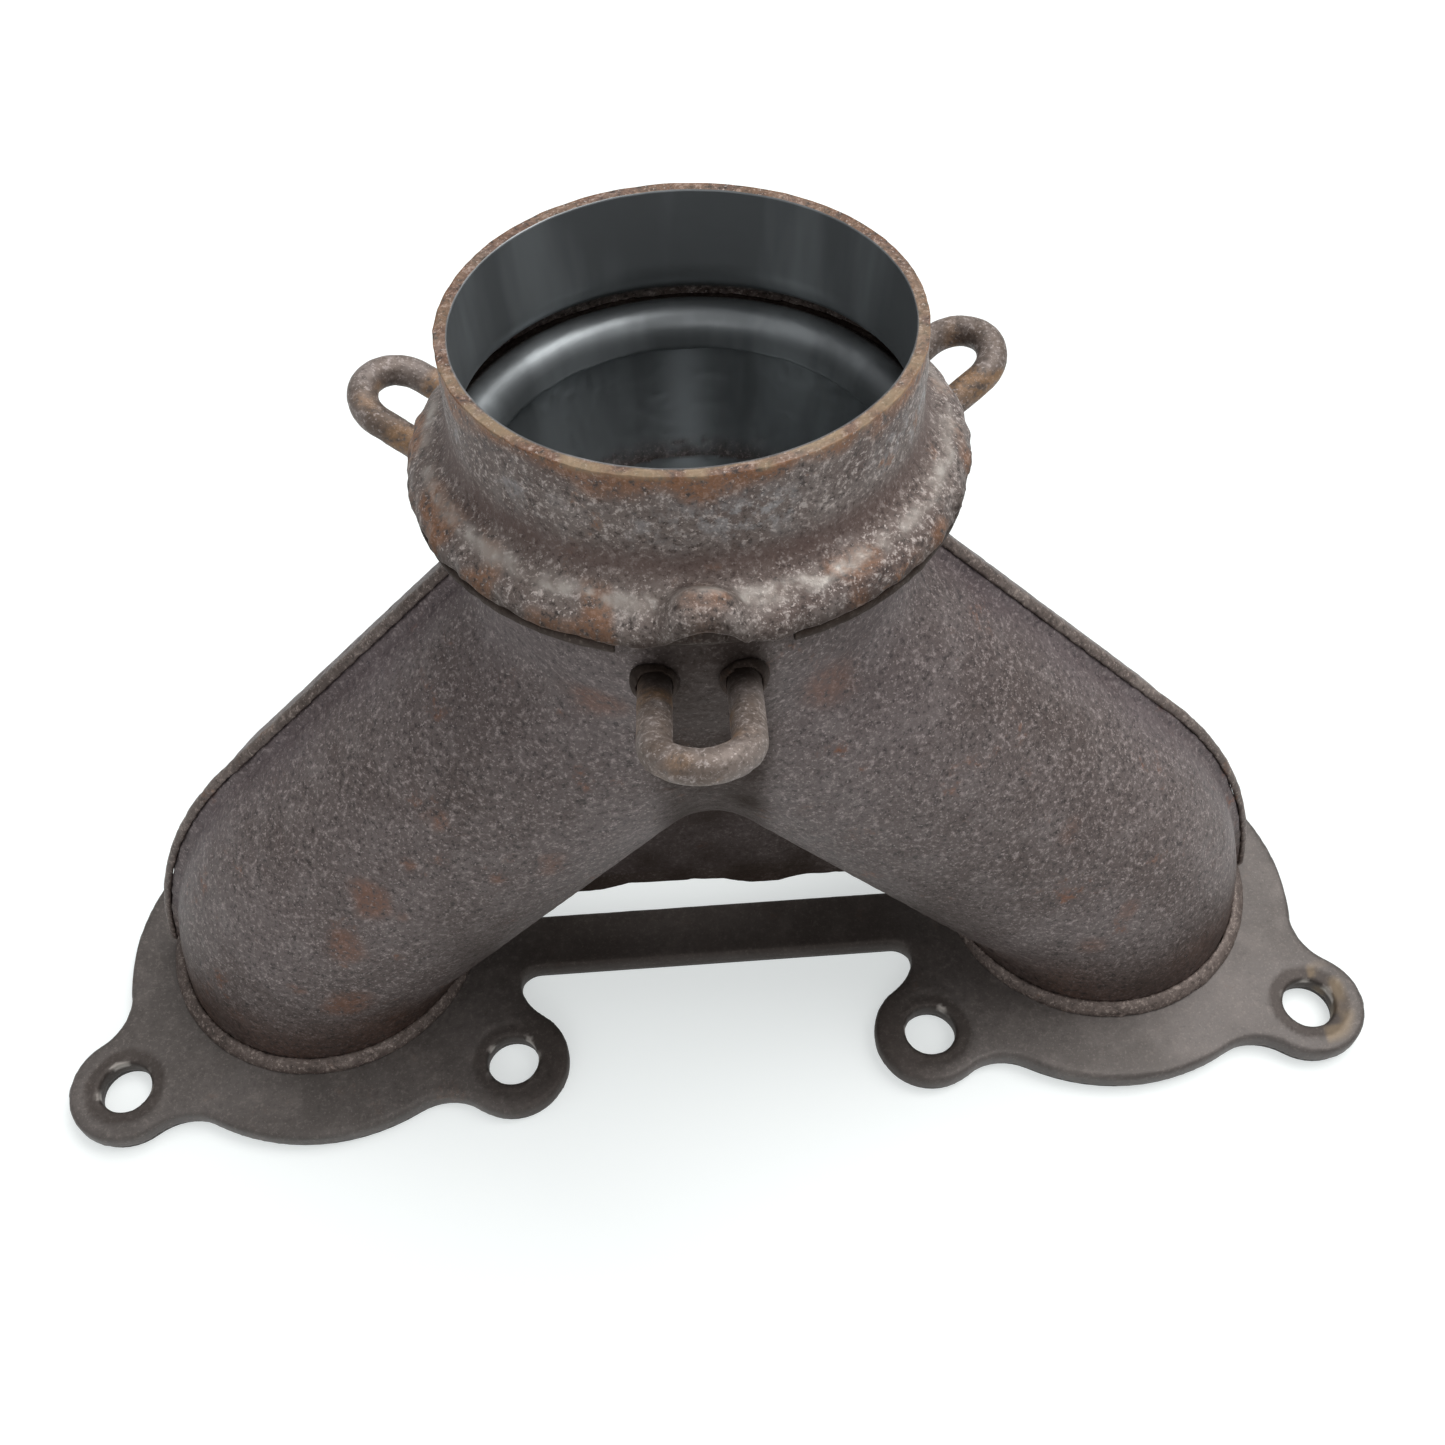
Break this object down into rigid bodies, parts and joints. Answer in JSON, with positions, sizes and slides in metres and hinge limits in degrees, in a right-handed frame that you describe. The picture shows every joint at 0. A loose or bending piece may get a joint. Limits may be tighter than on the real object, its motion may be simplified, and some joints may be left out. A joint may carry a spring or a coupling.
{
  "type": "exhaust collector",
  "caption": "Welded two-into-one exhaust collector: bolted head flange, pressed runner shells, flared outlet collar and rod spring hooks",
  "frame": {"origin": "on the cylinder-head face (underside of the gasket), midway between the two exhaust ports", "axes": "+X along the row of ports, +Y away from the front spring hook, +Z away from the cylinder head"},
  "size_m": [0.2438, 0.1021, 0.1462],
  "materials": {
    "shell_steel": "heat-browned sheet steel, grainy oxide with rust specks and mauve temper tints",
    "collar_steel": "sheet steel with patchy grey-white oxide, ochre rust flakes and a few bright scraped glints",
    "flange_steel": "dark brown-grey plate, smoother than the shells, edges rubbed brighter",
    "rod_steel": "brown-grey rod with ochre rust",
    "weld_steel": "rippled weld bead with light rust",
    "gasket_sheet": "thin blackened gasket sheet with a ragged edge"
  },
  "bodies": {
    "root": {"flange_plate": "flange_steel", "front_hook": "rod_steel", "front_hook_weld": "weld_steel", "front_shell": "shell_steel", "gasket": "gasket_sheet", "left_hook": "rod_steel", "left_hook_weld": "weld_steel", "left_port_weld": "weld_steel", "left_seam_weld": "weld_steel", "neck_weld": "weld_steel", "outlet_collar": "collar_steel", "rear_shell": "shell_steel", "right_hook": "rod_steel", "right_hook_weld": "weld_steel", "right_port_weld": "weld_steel", "right_seam_weld": "weld_steel", "seat_ring": "collar_steel", "skirt_weld": "weld_steel"}
  },
  "joints": []
}
